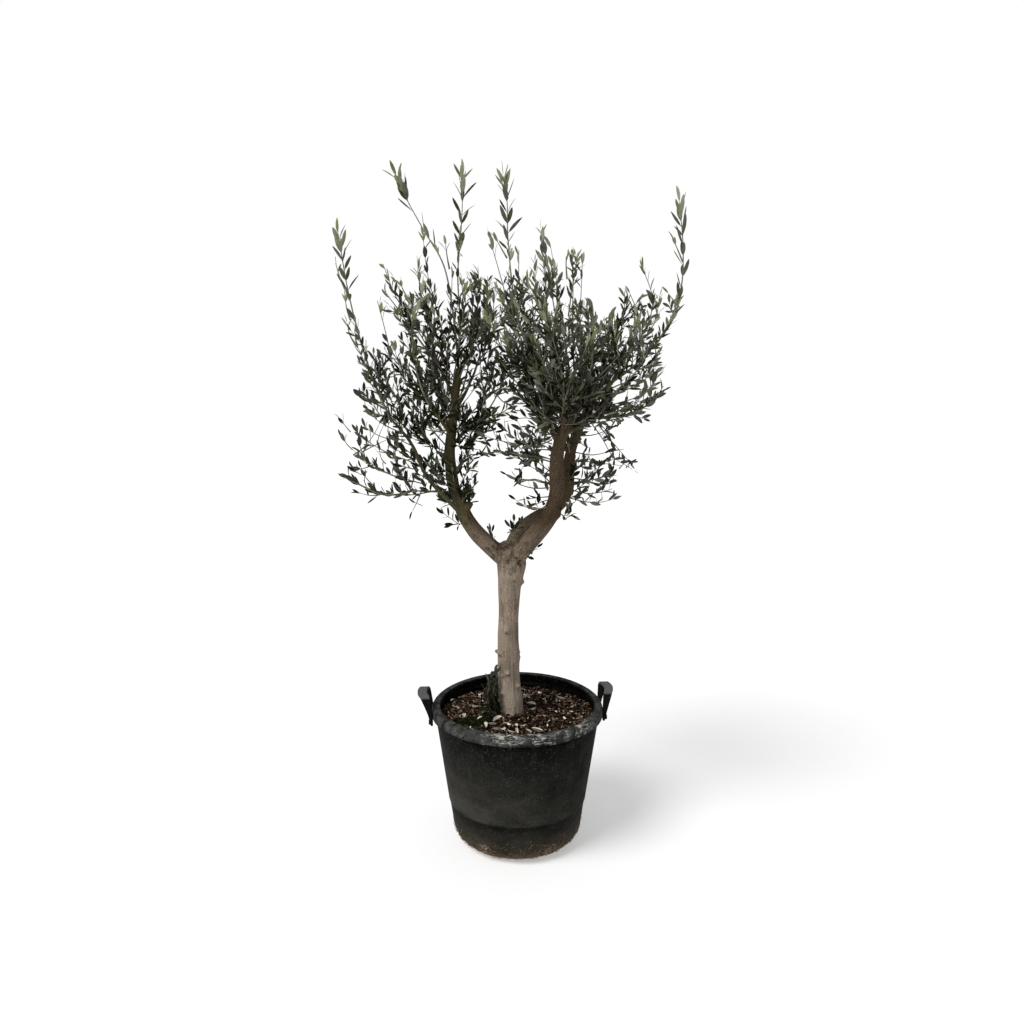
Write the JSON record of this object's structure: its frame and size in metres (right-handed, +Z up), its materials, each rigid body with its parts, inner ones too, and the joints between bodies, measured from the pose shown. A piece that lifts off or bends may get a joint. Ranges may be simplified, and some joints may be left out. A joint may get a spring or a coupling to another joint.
{
  "type": "potted olive tree",
  "caption": "Young olive tree with a slim bare trunk, forked boughs and an open upright crown of narrow leaves, in a round black nursery tub with a rolled rim and two handles.",
  "frame": {"origin": "centre of the tub's flat underside, which stands on the ground", "axes": "+X to the right, +Y to the back, +Z up; the handles lie near the X axis, turned 4.5 degrees about Z"},
  "size_m": [1.0238, 0.7461, 1.9993],
  "materials": {
    "tub": "matte",
    "soil": "matte",
    "bark": "matte",
    "leaves": "satin"
  },
  "bodies": {
    "root": {"centre_back_branch": "bark", "centre_back_foliage": "leaves", "far_left_foliage": "leaves", "far_right_foliage": "leaves", "handle_left": "tub", "handle_right": "tub", "inner_low_branch": "bark", "inner_low_foliage": "leaves", "left_back_branch": "bark", "left_back_foliage": "leaves", "left_bough_lower": "bark", "left_bough_upper": "bark", "left_front_branch": "bark", "left_front_foliage": "leaves", "left_high_foliage": "leaves", "left_inner_branch": "bark", "left_inner_foliage": "leaves", "left_inner_low_branch": "bark", "left_inner_low_foliage": "leaves", "left_low_branch": "bark", "left_low_foliage": "leaves", "left_low_rear_foliage": "leaves", "left_outer_bough": "bark", "left_shoot_foliage": "leaves", "left_side_foliage": "leaves", "left_top_foliage": "leaves", "left_upper_branch": "bark", "left_upper_foliage": "leaves", "mid_shoot_foliage": "leaves", "mid_top_foliage": "leaves", "pot": "tub", "right_back_branch": "bark", "right_back_foliage": "leaves", "right_front_bough_lower": "bark", "right_front_bough_upper": "bark", "right_front_branch": "bark", "right_front_foliage": "leaves", "right_front_top_foliage": "leaves", "right_hanging_foliage": "leaves", "right_inner_bough": "bark", "right_low_branch": "bark", "right_low_foliage": "leaves", "right_mid_foliage": "leaves", "right_rear_bough_lower": "bark", "right_rear_bough_upper": "bark", "right_rear_low_branch": "bark", "right_rear_low_foliage": "leaves", "right_top_foliage": "leaves", "soil": "soil", "trunk": "bark"}
  },
  "joints": []
}
